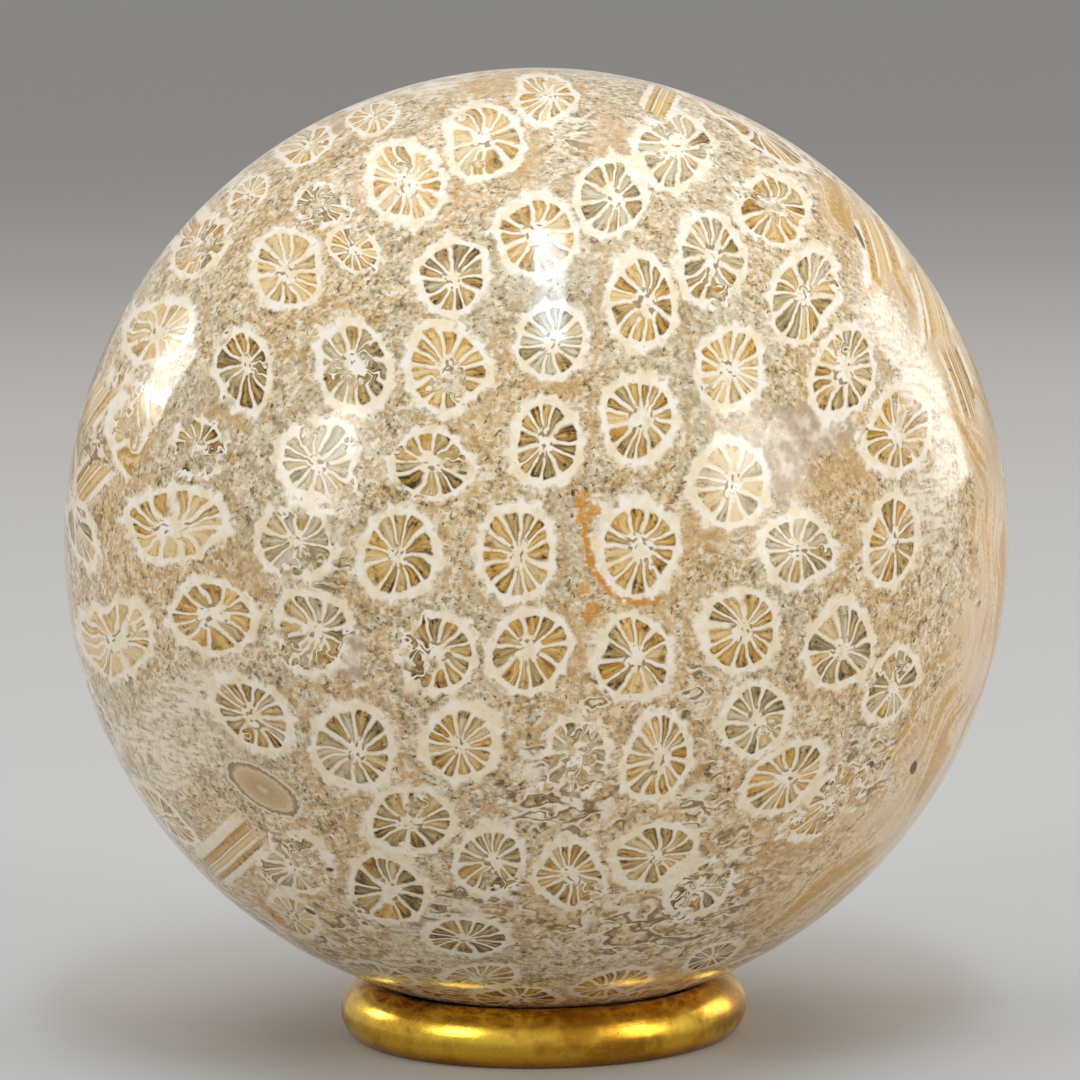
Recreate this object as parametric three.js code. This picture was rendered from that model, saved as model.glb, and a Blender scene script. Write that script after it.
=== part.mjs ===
// A polished ball of fossil coral, resting on a round brass ring.
// Millimetres, +Z up. The origin is on the surface that the ring stands on, under the middle of the ball,
// and the ball's best side faces -Y.

import * as THREE from 'three';
import { mergeVertices } from 'three/addons/utils/BufferGeometryUtils.js';

// The ball: ground and polished as near to round as a hand-guided stone gets.
const BALL_DIAMETER = 76;
const BALL_SPLITS_PER_EDGE = 16; // even, so that the top, the bottom and the sides have a corner of the mesh

// The ring: round bar bent into a hoop, with a narrow flat ground under it so that it stands without rocking.
const RING_OUTER_DIAMETER = 33;
const BAR_DIAMETER = 4.8;
const FOOT_WIDTH = 2.4;
const RING_STEPS = 72; // steps round the hoop
const BAR_STEPS = 24; // steps round the bar, without the flat

// The ball touches the ring along a circle. This much air is left there, so that the two stay separate pieces.
const SEAT_GAP = 0.12;

// What follows from the sizes above.
const ballRadius = BALL_DIAMETER / 2;
const barRadius = BAR_DIAMETER / 2;
const hoopRadius = RING_OUTER_DIAMETER / 2 - barRadius;
const footHalfAngle = Math.asin(FOOT_WIDTH / 2 / barRadius);
const barHeight = barRadius * Math.cos(footHalfAngle);
const seatDistance = ballRadius + SEAT_GAP + barRadius;
const ballHeight = barHeight + Math.sqrt(seatDistance ** 2 - hoopRadius ** 2);

const stoneMaterial = new THREE.MeshStandardMaterial({ color: 0xb09a7b, roughness: 0.15, metalness: 0 });
const brassMaterial = new THREE.MeshStandardMaterial({ color: 0xd9a441, roughness: 0.28, metalness: 1 });

// Corners that fall within this distance of each other are one corner.
const SAME_CORNER = 1e-4;

// A closed skin whose triangles share their corners.
function weld(geometry) {
  geometry.deleteAttribute('normal');
  geometry.deleteAttribute('uv');
  const welded = mergeVertices(geometry, SAME_CORNER);
  welded.computeVertexNormals();
  return welded;
}

// The ball is even triangles all over, which keeps it round from every side.
function makeCoralSphere() {
  const geometry = weld(new THREE.IcosahedronGeometry(ballRadius, BALL_SPLITS_PER_EDGE - 1));
  const ball = new THREE.Mesh(geometry, stoneMaterial);
  ball.name = 'coral_sphere';
  ball.position.z = ballHeight;
  return ball;
}

// The bar's outline: an arc from one edge of the flat, over the top, to the flat's other edge, and back along it.
function barOutline() {
  const outline = [];
  const sweep = 2 * Math.PI - 2 * footHalfAngle;
  for (let step = 0; step <= BAR_STEPS; step += 1) {
    const angle = -Math.PI / 2 + footHalfAngle + (sweep * step) / BAR_STEPS;
    outline.push(new THREE.Vector2(hoopRadius + barRadius * Math.cos(angle), barRadius * Math.sin(angle)));
  }
  outline.push(outline[0].clone());
  return outline;
}

// The hoop is turned about its own axis, which a lathe makes along Y, so it is stood up along Z.
function makeRingStand() {
  const geometry = new THREE.LatheGeometry(barOutline(), RING_STEPS);
  const ring = new THREE.Mesh(weld(geometry), brassMaterial);
  ring.name = 'ring_stand';
  ring.rotation.x = Math.PI / 2;
  ring.position.z = barHeight;
  return ring;
}

const group = new THREE.Group();
group.add(makeCoralSphere(), makeRingStand());

export default group;
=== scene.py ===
# %% [markdown]
# # A polished ball of fossil coral on a brass ring
#
# The object is a stone ball, 76 mm across, cut from a fossil coral colony and polished. It rests on a
# small brass ring. The measured model gives the two solids their size and place. This lesson gives them
# their looks: the flower-like sections of the coral's tubes, the sandy stone between them, and the satin
# brass.
#
# A colony is a bundle of tubes that fan out from the spot where it began. Where the ball's surface cuts a
# tube square, a round flower shows. Where it cuts a tube at a slant, the flower is stretched, and along a
# tube's length there are only stripes. So the pattern is worked out in three dimensions, as the real
# stone is.

# %% Load the measured model
import math
from collections import namedtuple

import bpy
import numpy as np
from mathutils import Matrix, Quaternion, Vector


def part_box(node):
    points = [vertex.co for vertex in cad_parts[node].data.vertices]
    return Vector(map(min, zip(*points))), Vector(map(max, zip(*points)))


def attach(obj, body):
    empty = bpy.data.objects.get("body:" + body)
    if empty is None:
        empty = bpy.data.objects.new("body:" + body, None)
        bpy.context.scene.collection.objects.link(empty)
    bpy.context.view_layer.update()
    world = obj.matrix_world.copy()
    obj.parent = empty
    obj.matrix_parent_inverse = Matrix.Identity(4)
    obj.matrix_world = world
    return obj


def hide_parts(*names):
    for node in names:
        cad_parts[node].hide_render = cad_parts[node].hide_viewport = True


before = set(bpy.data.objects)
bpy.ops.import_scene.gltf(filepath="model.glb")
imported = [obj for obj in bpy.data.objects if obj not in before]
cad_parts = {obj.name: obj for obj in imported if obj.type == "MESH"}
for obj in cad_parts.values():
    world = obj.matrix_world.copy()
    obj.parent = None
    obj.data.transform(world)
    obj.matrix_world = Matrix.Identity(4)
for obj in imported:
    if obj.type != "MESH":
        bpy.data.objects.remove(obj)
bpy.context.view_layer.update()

MM = 0.001
BALL_LOW, BALL_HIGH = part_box("coral_sphere")
RING_LOW, RING_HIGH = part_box("ring_stand")
BALL_CENTRE = np.array((BALL_LOW + BALL_HIGH) / 2)
BALL_RADIUS = (BALL_HIGH.x - BALL_LOW.x) / 2
RING_WIDTH = RING_HIGH.x - RING_LOW.x
print("Ball's radius and ring's width in mm:", round(BALL_RADIUS / MM, 2), round(RING_WIDTH / MM, 2))

# %% [markdown]
# ## The viewpoint comes first
#
# The flowers on the front are set one by one from where they show in the picture, so the camera has to be
# known before the pattern is made. It looks slightly down at the ball from 40 cm. The lens is worked out
# from the ball itself: its outline has to be as large in the picture as it was measured.

# %% Where the camera stands and how it sees
PICTURE_PIXELS = 1080
BALL_AT_PIXEL = (536.3, 540.4)
BALL_RADIUS_PIXELS = 473.2
CAMERA_DISTANCE = 0.40
CAMERA_ELEVATION = math.radians(6.0)
CAMERA_ROLL = math.radians(-0.9)
SENSOR_WIDTH = 36.0

SIGHT = np.array((0.0, math.cos(CAMERA_ELEVATION), -math.sin(CAMERA_ELEVATION)))
LEVEL_RIGHT = np.array((1.0, 0.0, 0.0))
LEVEL_UP = np.cross(LEVEL_RIGHT, SIGHT)
RIGHT = LEVEL_RIGHT * math.cos(CAMERA_ROLL) + LEVEL_UP * math.sin(CAMERA_ROLL)
UP = LEVEL_UP * math.cos(CAMERA_ROLL) - LEVEL_RIGHT * math.sin(CAMERA_ROLL)
OUTLINE_DISTANCE = math.sqrt(CAMERA_DISTANCE**2 - BALL_RADIUS**2)
FOCAL_PIXELS = BALL_RADIUS_PIXELS * OUTLINE_DISTANCE / BALL_RADIUS
METRES_PER_PIXEL = CAMERA_DISTANCE / FOCAL_PIXELS
OFF_CENTRE = (PICTURE_PIXELS / 2 - np.array(BALL_AT_PIXEL)) * METRES_PER_PIXEL
CAMERA_PLACE = BALL_CENTRE - SIGHT * CAMERA_DISTANCE + RIGHT * OFF_CENTRE[0] - UP * OFF_CENTRE[1]


def pixel_ray(x, y):
    """The direction in which the camera sees a pixel."""
    half = PICTURE_PIXELS / 2
    ray = SIGHT + RIGHT * (x - half) / FOCAL_PIXELS - UP * (y - half) / FOCAL_PIXELS
    return ray / np.linalg.norm(ray)


def on_ball(x, y):
    """The point of the ball that shows at a pixel. Just outside the outline it is the nearest edge point."""
    ray = pixel_ray(x, y)
    to_ball = BALL_CENTRE - CAMERA_PLACE
    middle = ray @ to_ball
    half_chord = math.sqrt(max(BALL_RADIUS**2 - to_ball @ to_ball + middle**2, 0.0))
    normal = CAMERA_PLACE + ray * (middle - half_chord) - BALL_CENTRE
    return BALL_CENTRE + normal / np.linalg.norm(normal) * BALL_RADIUS


def pixels_per_metre(point):
    """How a small step from a point moves in the picture: two rows, for pixels right and pixels down."""
    away = point - CAMERA_PLACE
    depth = away @ SIGHT
    across = (RIGHT - SIGHT * (away @ RIGHT) / depth) * FOCAL_PIXELS / depth
    down = -(UP - SIGHT * (away @ UP) / depth) * FOCAL_PIXELS / depth
    return np.array((across, down))


print("Lens in mm:", round(FOCAL_PIXELS / PICTURE_PIXELS * SENSOR_WIDTH, 1))

# %% [markdown]
# ## The coral's tubes
#
# Every tube has an axis, and all axes fan out from one spot, behind the ball and to its upper left. A
# tube's section is kept as a lens: a small matrix that turns a place near the tube into flat coordinates,
# where the wall's outer edge is the circle of radius 1. The front tubes are listed as they are read off
# the picture: middle, width, height, lean from upright and the colour of the filling.

# %% How a tube's section is described
COLONY_START = BALL_CENTRE + BALL_RADIUS * np.array((-0.9, 1.6, 0.8))

# Each filling is a tint, from grey 0 to amber 1, and a depth, from pale 0 to dark brown 1.
FILLING = {
    "amber": (1.00, 0.36),
    "honey": (0.95, 0.24),
    "brown": (0.90, 0.52),
    "umber": (0.66, 0.72),
    "olive": (0.45, 0.52),
    "grey": (0.22, 0.44),
    "pale": (0.60, 0.20),
}

Tube = namedtuple("Tube", "centre lens shift ends tint depth wear")


def growth_axis(point):
    """The direction in which the colony grew at a point."""
    away = point - COLONY_START
    return away / np.linalg.norm(away)


def square_pair(direction):
    """Two directions square to a direction and to each other, as the rows of a matrix."""
    helper = np.array((0.0, 0.0, 1.0)) if abs(direction[2]) < 0.9 else np.array((1.0, 0.0, 0.0))
    first = np.cross(helper, direction)
    first = first / np.linalg.norm(first)
    return np.array((first, np.cross(direction, first)))


def lens_seen(x, y, across, along, lean, axis=None):
    """The middle and the lens of a section that shows in the picture as an ellipse."""
    centre = on_ball(x, y)
    normal = (centre - BALL_CENTRE) / BALL_RADIUS
    axis = growth_axis(centre) if axis is None else axis
    surface = square_pair(normal)
    section = square_pair(axis)
    angle = math.radians(lean)
    turn = np.array(((math.cos(angle), math.sin(angle)), (math.sin(angle), -math.cos(angle))))
    shrink = np.diag((2 / across, 2 / along))
    flat = shrink @ turn @ pixels_per_metre(centre) @ surface.T
    return centre, flat @ np.linalg.inv(section @ surface.T) @ section


start_distance = float(np.linalg.norm(COLONY_START - BALL_CENTRE))
print("The colony began this far from the ball's middle, in mm:", round(start_distance / MM))

# %% [markdown]
# The list below is the heart of the likeness. Each line is one flower on the front of the ball, in rows
# from the top down. Wear says how broken its inside is: 0 is a perfect flower, 1 is hardly one.

# %% The flowers that show on the front
Flower = namedtuple("Flower", "x y across along lean filling wear")
FRONT_FLOWERS = [
    Flower(548, 98, 66, 56, 0, "honey", 0.2),
    Flower(376, 117, 34, 60, 69, "honey", 0.3),
    Flower(484, 140, 84, 86, 0, "amber", 0.0),
    Flower(308, 145, 38, 62, 60, "honey", 0.3),
    Flower(677, 147, 86, 92, 0, "grey", 0.2),
    Flower(407, 183, 86, 92, 0, "amber", 0.0),
    Flower(249, 194, 32, 54, 48, "honey", 0.5),
    Flower(614, 195, 78, 96, 0, "grey", 0.1),
    Flower(322, 205, 46, 62, 100, "grey", 0.7),
    Flower(775, 210, 84, 80, 0, "brown", 0.4),
    Flower(537, 236, 92, 90, 0, "amber", 0.0),
    Flower(201, 247, 50, 80, 38, "brown", 0.2),
    Flower(357, 250, 48, 62, 125, "amber", 0.5),
    Flower(712, 259, 74, 104, -9, "olive", 0.1),
    Flower(287, 271, 84, 86, 0, "amber", 0.0),
    Flower(452, 278, 82, 88, 0, "umber", 0.1),
    Flower(806, 295, 74, 108, 25, "olive", 0.2),
    Flower(643, 302, 78, 102, 0, "brown", 0.0),
    Flower(161, 333, 60, 92, 55, "honey", 0.1),
    Flower(553, 340, 82, 84, 0, "grey", 0.1),
    Flower(353, 367, 80, 104, -14, "grey", 0.4),
    Flower(245, 370, 64, 94, -6, "umber", 0.3),
    Flower(447, 369, 96, 98, -20, "amber", 0.2),
    Flower(732, 371, 72, 94, 0, "honey", 0.0),
    Flower(845, 372, 66, 112, 15, "olive", 0.0),
    Flower(641, 419, 82, 108, 10, "brown", 0.0),
    Flower(899, 432, 74, 98, 8, "brown", 0.4),
    Flower(546, 445, 80, 98, 0, "umber", 0.1),
    Flower(198, 448, 62, 66, 0, "umber", 0.7),
    Flower(317, 462, 88, 92, 0, "grey", 0.3),
    Flower(433, 464, 74, 98, 100, "umber", 0.5),
    Flower(731, 484, 84, 98, 10, "pale", 0.0),
    Flower(174, 528, 84, 112, 78, "honey", 0.0),
    Flower(296, 541, 84, 90, -35, "grey", 0.4),
    Flower(894, 541, 66, 98, 15, "brown", 0.1),
    Flower(639, 549, 96, 108, 0, "brown", 0.0),
    Flower(799, 550, 82, 90, 0, "grey", 0.1),
    Flower(517, 553, 88, 106, 20, "brown", 0.0),
    Flower(398, 556, 94, 98, 0, "brown", 0.1),
    Flower(213, 618, 80, 100, 98, "brown", 0.0),
    Flower(740, 630, 86, 92, -40, "brown", 0.1),
    Flower(314, 634, 84, 98, -20, "olive", 0.4),
    Flower(115, 643, 82, 88, 60, "honey", 0.1),
    Flower(841, 648, 74, 96, 20, "olive", 0.0),
    Flower(530, 653, 86, 96, 0, "brown", 0.0),
    Flower(438, 655, 86, 90, 0, "umber", 0.4),
    Flower(635, 658, 86, 96, 0, "brown", 0.0),
    Flower(893, 687, 48, 94, 25, "olive", 0.1),
    Flower(253, 715, 68, 116, 130, "umber", 0.1),
    Flower(756, 720, 74, 84, 20, "grey", 0.2),
    Flower(461, 744, 88, 84, 0, "brown", 0.1),
    Flower(354, 751, 90, 100, -20, "olive", 0.0),
    Flower(577, 758, 76, 86, 0, "grey", 0.5),
    Flower(659, 760, 78, 100, 8, "brown", 0.1),
    Flower(787, 780, 64, 104, 52, "brown", 0.0),
    Flower(829, 804, 46, 116, 48, "brown", 0.6),
    Flower(409, 824, 72, 104, 85, "umber", 0.2),
    Flower(657, 857, 74, 98, 72, "brown", 0.1),
    Flower(490, 862, 72, 84, 15, "olive", 0.2),
    Flower(293, 867, 66, 84, 110, "grey", 0.6),
    Flower(571, 876, 78, 78, 0, "brown", 0.3),
    Flower(700, 887, 58, 86, 60, "olive", 0.7),
    Flower(389, 890, 74, 94, 112, "umber", 0.1),
    Flower(292, 917, 38, 70, 125, "honey", 0.2),
    Flower(466, 938, 42, 94, 92, "umber", 0.2),
    Flower(480, 977, 26, 82, 88, "brown", 0.1),
]
print("Flowers set by hand:", len(FRONT_FLOWERS))

# %% [markdown]
# Some tubes on the front are cut along their length, mostly close to the outline. They show as a few
# amber stripes between cream lines. Each is given by the two ends of its middle line and its full width.

# %% The tubes that are cut lengthwise on the front
Stripe = namedtuple("Stripe", "x1 y1 x2 y2 across filling")
FRONT_STRIPES = [
    Stripe(202, 876, 250, 834, 62, "amber"),
    Stripe(870, 212, 891, 276, 44, "amber"),
    Stripe(922, 264, 946, 336, 32, "amber"),
    Stripe(950, 344, 978, 420, 26, "amber"),
    Stripe(70, 502, 98, 462, 36, "amber"),
    Stripe(80, 424, 104, 384, 32, "amber"),
    Stripe(655, 112, 668, 84, 40, "amber"),
]
STRIPE_OFFSET = 0.50  # how far beside its axis such a tube is cut, with 1 at the wall's outer edge
NO_ENDS = np.zeros(3)
NO_SHIFT = np.zeros(2)


def flower_tube(flower):
    """A tube whose section shows as a flower on the front."""
    centre, lens = lens_seen(flower.x, flower.y, flower.across, flower.along, flower.lean)
    tint, depth = FILLING[flower.filling]
    return Tube(centre, lens, NO_SHIFT, NO_ENDS, tint, depth, flower.wear)


def stripe_tube(stripe):
    """A tube that is cut along its length. Its flat coordinates are the way aside and a fixed depth."""
    run = np.array((stripe.x2 - stripe.x1, stripe.y2 - stripe.y1), float)
    length = np.linalg.norm(run)
    centre = on_ball((stripe.x1 + stripe.x2) / 2, (stripe.y1 + stripe.y2) / 2)
    surface = square_pair((centre - BALL_CENTRE) / BALL_RADIUS)
    seen = pixels_per_metre(centre) @ surface.T @ surface
    aside = np.array((-run[1], run[0])) @ seen * 2 / length / stripe.across
    along = run @ seen * 2 / length**2
    tint, depth = FILLING[stripe.filling]
    lens = np.array((aside, NO_ENDS))
    return Tube(centre, lens, np.array((0.0, STRIPE_OFFSET)), along, tint, depth, 0.0)


tubes = [flower_tube(flower) for flower in FRONT_FLOWERS] + [stripe_tube(stripe) for stripe in FRONT_STRIPES]
print("Tubes on the front:", len(tubes))

# %% [markdown]
# The picture shows only the front. The rest of the ball is filled by the same colony: new tubes are set
# close beside those that are there, each along the direction of growth, until no gap is wide enough for
# another.

# %% Fill the rest of the ball with tubes
TUBE_RADIUS = 3.3 * MM
TUBE_RADIUS_SPREAD = 0.10
TUBE_REACH = 0.9 * BALL_RADIUS  # how far along the ball a tube can show from where it was set
CLOSEST = 2.12  # from the middle of one tube to the middle of the next, in radii
FRONT_LIMIT = 0.95  # share of the outline's radius that the listed flowers cover
CANDIDATES = 9000
GOLDEN_TURN = math.pi * (3 - math.sqrt(5))
chance = np.random.default_rng(76)


def flat_place(tube, points):
    """A tube's flat coordinates at some points, and how far out they are: 1 is the wall's outer edge."""
    away = points - tube.centre
    place = away @ tube.lens.T + tube.shift
    past_end = np.maximum(np.abs(away @ tube.ends) - 1, 0)
    return place, np.linalg.norm(place, axis=1) + 4 * past_end


def out_of_reach(tube, points):
    """Which points are too far along the ball to belong to a tube."""
    return np.linalg.norm(points - tube.centre, axis=1) > TUBE_REACH


def even_points(count):
    """Points spread evenly over the ball, along a spiral from top to bottom."""
    step = np.arange(count) + 0.5
    height = 1 - 2 * step / count
    across = np.sqrt(1 - height**2)
    turn = GOLDEN_TURN * step
    unit = np.column_stack((across * np.cos(turn), across * np.sin(turn), height))
    return BALL_CENTRE + unit * BALL_RADIUS


def shown_on_front(points):
    """Which points of the ball the camera sees well inside the ball's outline."""
    away = points - CAMERA_PLACE
    depth = away @ SIGHT
    seen = np.column_stack((away @ RIGHT, -(away @ UP))) / depth[:, None] * FOCAL_PIXELS + PICTURE_PIXELS / 2
    inside = np.linalg.norm(seen - BALL_AT_PIXEL, axis=1) < FRONT_LIMIT * BALL_RADIUS_PIXELS
    return inside & (((points - BALL_CENTRE) * away).sum(axis=1) < 0)


def grown_tube(centre):
    """A tube of the usual size, along the direction of growth, with a filling of its own."""
    radius = TUBE_RADIUS * (1 + TUBE_RADIUS_SPREAD * chance.normal())
    stretch = 1 + 0.10 * chance.normal()
    angle = chance.uniform(0, math.pi)
    turn = np.array(((math.cos(angle), math.sin(angle)), (-math.sin(angle), math.cos(angle))))
    lens = np.diag((1 / radius, stretch / radius)) @ turn @ square_pair(growth_axis(centre))
    tint, depth = FILLING[chance.choice(["amber", "honey", "brown", "brown", "umber", "olive", "grey"])]
    return Tube(centre, lens, NO_SHIFT, NO_ENDS, tint, depth, float(chance.choice([0, 0, 0.1, 0.3, 0.6])))


candidates = even_points(CANDIDATES)
candidates = candidates[~shown_on_front(candidates)]


def crowding(tube, points):
    """How near the points are to a tube, in its radii, with far ones counted as free."""
    distance = flat_place(tube, points)[1]
    distance[out_of_reach(tube, points)] = np.inf
    return distance


nearest = np.min([crowding(tube, candidates) for tube in tubes], axis=0)
while (nearest >= CLOSEST).any():
    pick = int(np.argmin(np.where(nearest >= CLOSEST, nearest, np.inf)))
    tubes.append(grown_tube(candidates[pick]))
    nearest = np.minimum(nearest, crowding(tubes[-1], candidates))
    nearest[pick] = 0
print("Tubes in all:", len(tubes))

# %% [markdown]
# ## The ball
#
# A ball of even triangles takes a pattern best, because a globe of rings and slices pinches at its poles.
# So the start is an icosphere. Each of its faces is split once more and pushed out to the true radius,
# which gives edges of half a millimetre. A hand-ground ball is never quite true, so a very slow
# unevenness follows.

# %% Model the ball
GRINDING_WAVE = 18 * MM
GRINDING_DEPTH = 0.10 * MM


def deselect_all():
    """Leaves nothing selected, because an operator acts on all that is."""
    bpy.ops.object.select_all(action="DESELECT")


def apply_modifier(piece, kind, **settings):
    """Adds a modifier with its settings and makes its result the mesh."""
    bpy.context.view_layer.objects.active = piece
    modifier = piece.modifiers.new(kind.title(), kind)
    for name, value in settings.items():
        setattr(modifier, name, value)
    bpy.ops.object.modifier_apply(modifier=modifier.name)


def place_in_mesh(piece):
    """Puts an object's place, turn and size into its mesh, so that the object sits at the origin."""
    deselect_all()
    piece.select_set(True)
    bpy.context.view_layer.objects.active = piece
    bpy.ops.object.transform_apply(location=True, rotation=True, scale=True)


deselect_all()
bpy.ops.mesh.primitive_ico_sphere_add(subdivisions=6, radius=BALL_RADIUS, location=BALL_CENTRE)
ball = bpy.context.object
ball.name = "polished_coral_ball"
bpy.ops.object.mode_set(mode="EDIT")
bpy.ops.mesh.select_all(action="SELECT")
bpy.ops.mesh.subdivide(number_cuts=2)
bpy.ops.object.mode_set(mode="OBJECT")
apply_modifier(ball, "CAST", cast_type="SPHERE", factor=1.0, size=BALL_RADIUS, use_radius_as_size=False)
grinding = bpy.data.textures.new("Grinding", "CLOUDS")
grinding.noise_scale = GRINDING_WAVE
apply_modifier(ball, "DISPLACE", texture=grinding, strength=-GRINDING_DEPTH, mid_level=0.0)
place_in_mesh(ball)
bpy.ops.object.shade_smooth()
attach(ball, "root")
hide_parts("coral_sphere")
print("Triangles in the ball:", len(ball.data.polygons))

# %% [markdown]
# The pattern reaches the material as attributes of the mesh. Each triangle belongs to its nearest tube.
# Its corners carry their flat coordinates in that tube, so the flower is drawn finely inside the
# triangle. They also carry the distance to the next tube, so that where two tubes meet, both get a wall.

# %% Find each triangle's tube
SEED_STEP = 0.6180339887  # spreads the tubes' seeds evenly between 0 and 1
FEWEST_SEPTA, MOST_SEPTA = 11, 15
STRIPE_SEPTA = 9
FAR = 9.0

mesh = ball.data
face_count = len(mesh.polygons)
middles = np.empty(face_count * 3)
mesh.polygons.foreach_get("center", middles)
middles = middles.reshape(-1, 3)
corners = np.empty(face_count * 3, int)
mesh.loops.foreach_get("vertex_index", corners)
vertices = np.empty(len(mesh.vertices) * 3)
mesh.vertices.foreach_get("co", vertices)
vertices = vertices.reshape(-1, 3)

first = np.full(face_count, -1)
second = np.full(face_count, -1)
first_out = np.full(face_count, FAR)
second_out = np.full(face_count, FAR)
for number, tube in enumerate(tubes):
    near = np.flatnonzero(~out_of_reach(tube, middles))
    out = flat_place(tube, middles[near])[1]
    closer = out < first_out[near]
    behind = ~closer & (out < second_out[near])
    win = near[closer]
    second[win], second_out[win] = first[win], first_out[win]
    first[win], first_out[win] = number, out[closer]
    second[near[behind]], second_out[near[behind]] = number, out[behind]
print("Triangles inside a tube's wall:", round(float((first_out < 1).mean()) * 100), "percent")

# %% Write each corner's place and each triangle's tube into the mesh
corner_points = vertices[corners]
corner_first = np.repeat(first, 3)
corner_second = np.repeat(second, 3)
places = np.zeros((len(corners), 3))
places[:, 2] = FAR
for number, tube in enumerate(tubes):
    mine = corner_first == number
    places[mine, :2] = flat_place(tube, corner_points[mine])[0]
    rival = corner_second == number
    places[rival, 2] = flat_place(tube, corner_points[rival])[1]
for number, tube in enumerate(tubes):
    mine = corner_first == number
    if tube.ends.any():  # cut lengthwise: how far along the tube takes the place of the next tube's distance
        places[mine, 2] = np.abs((corner_points[mine] - tube.centre) @ tube.ends)


def give_attribute(name, domain, values):
    """Stores three numbers for each point, corner or triangle of the ball, for its material to read."""
    attribute = mesh.attributes.new(name, "FLOAT_VECTOR", domain)
    attribute.data.foreach_set("vector", np.ravel(values).astype(np.float32))


seeds = (np.arange(len(tubes)) * SEED_STEP) % 1
septa = chance.integers(FEWEST_SEPTA, MOST_SEPTA, len(tubes))
septa[len(FRONT_FLOWERS):len(FRONT_FLOWERS) + len(FRONT_STRIPES)] = STRIPE_SEPTA
nature = np.column_stack((seeds, septa, [tube.tint for tube in tubes]))
lengthwise = [float(tube.ends.any()) for tube in tubes]
state = np.column_stack(([tube.depth for tube in tubes], [tube.wear for tube in tubes], lengthwise))
give_attribute("tube_place", "CORNER", places)
give_attribute("tube_nature", "FACE", nature[first])
give_attribute("tube_state", "FACE", state[first])
print("Attributes:", [attribute.name for attribute in mesh.attributes if not attribute.is_internal])

# %% [markdown]
# ## Stains, chalk and pits
#
# Between the flowers the stone has marks of its own: an orange line of rust beside one flower, chalky
# patches, a grey glassy patch, tan bands near the right edge, a shell cut across, and a few pits, darkened
# with painted shade.
# Each mark is stored as a distance, 1 at its outline. The material turns the distance into a ragged edge,
# much finer than the mesh.

# %% The marks on the front
Mark = namedtuple("Mark", "x y across along lean")


def mark_list(*rows):
    """Marks from their middle, width, height and lean, as read off the picture."""
    return [Mark(*row) for row in rows]


RUST_LINE = [(577, 492), (583, 528), (594, 572), (614, 596), (636, 603), (660, 599)]
RUST_MARKS = mark_list(
    (582, 508, 14, 34, 0), (594, 511, 12, 16, 0), (584, 590, 14, 14, 0), (592, 612, 16, 18, 0),
)
TAN_MARKS = mark_list(
    (553, 386, 16, 60, 95), (520, 606, 10, 30, 90), (494, 82, 18, 60, 80), (221, 415, 20, 44, 110),
    (815, 907, 22, 50, 60), (770, 897, 40, 70, 40), (720, 520, 60, 90, 60), (850, 470, 30, 120, 70),
    (605, 140, 50, 60, 0), (525, 165, 30, 60, 20), (140, 430, 34, 90, 10), (570, 640, 40, 60, 20),
    (250, 570, 50, 70, 70), (790, 850, 50, 90, 50),
)
CHALK_MARKS = mark_list(
    (175, 700, 44, 90, 65), (150, 742, 44, 110, 100), (170, 776, 28, 70, 70), (434, 84, 18, 44, 80),
    (600, 508, 20, 30, 0), (925, 395, 60, 90, -20), (935, 505, 44, 90, 0), (385, 965, 14, 80, 80),
    (655, 690, 16, 40, 60), (590, 640, 16, 24, 0), (880, 330, 26, 70, -30),
)
GLASSY_MARKS = mark_list(
    (806, 432, 50, 104, 82), (786, 466, 44, 50, 40), (447, 642, 30, 34, 0), (352, 655, 26, 50, 10),
)
BAND_MARKS = mark_list(
    (850, 208, 40, 80, -42), (908, 262, 50, 100, -36), (952, 340, 40, 110, -27), (984, 430, 40, 130, -14),
    (1000, 540, 34, 150, 0), (990, 650, 44, 150, 12), (955, 748, 50, 150, 30), (902, 826, 50, 150, 42),
    (838, 896, 40, 120, 55),
)
RUBBLE_MARKS = mark_list(
    (600, 705, 60, 80, 30), (560, 805, 70, 150, 80), (700, 800, 50, 110, 20), (640, 930, 70, 210, 85),
    (480, 905, 60, 110, 70), (880, 760, 50, 110, 25), (740, 880, 80, 110, 50), (340, 930, 50, 120, 60),
    (540, 770, 40, 60, 0), (700, 690, 30, 60, 10), (330, 560, 40, 60, 10), (800, 170, 50, 110, -35),
    (580, 130, 40, 60, 0),
)
PIT_MARKS = mark_list(
    (860, 236, 4, 30, -24), (914, 768, 7, 16, 20), (573, 493, 5, 8, 0), (729, 790, 5, 5, 0),
    (872, 764, 5, 7, 20), (330, 870, 4, 9, 100), (310, 912, 4, 14, 120),
)
SHELL_MARKS = mark_list((262, 790, 36, 94, 124))
stain_count = len(RUST_MARKS + TAN_MARKS + CHALK_MARKS + GLASSY_MARKS + BAND_MARKS + RUBBLE_MARKS)
print("Stains and patches on the front:", stain_count, "and small marks:", len(PIT_MARKS + SHELL_MARKS))

# %% How far a point is from a mark
MARK_REACH = 0.8 * BALL_RADIUS


def mark_place(mark, points):
    """A mark's flat coordinates at some points. It lies on the surface, so it is seen along the normal."""
    normal = (on_ball(mark.x, mark.y) - BALL_CENTRE) / BALL_RADIUS
    centre, lens = lens_seen(mark.x, mark.y, mark.across, mark.along, mark.lean, normal)
    place = (points - centre) @ lens.T
    place[np.linalg.norm(points - centre, axis=1) > MARK_REACH] = FAR
    return place


def marks_field(marks):
    """The distance to the nearest of some marks at every point of the mesh, 1 at its outline."""
    distances = [np.linalg.norm(mark_place(mark, vertices), axis=1) for mark in marks]
    return np.min([np.full(len(vertices), FAR)] + distances, axis=0)


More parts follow.
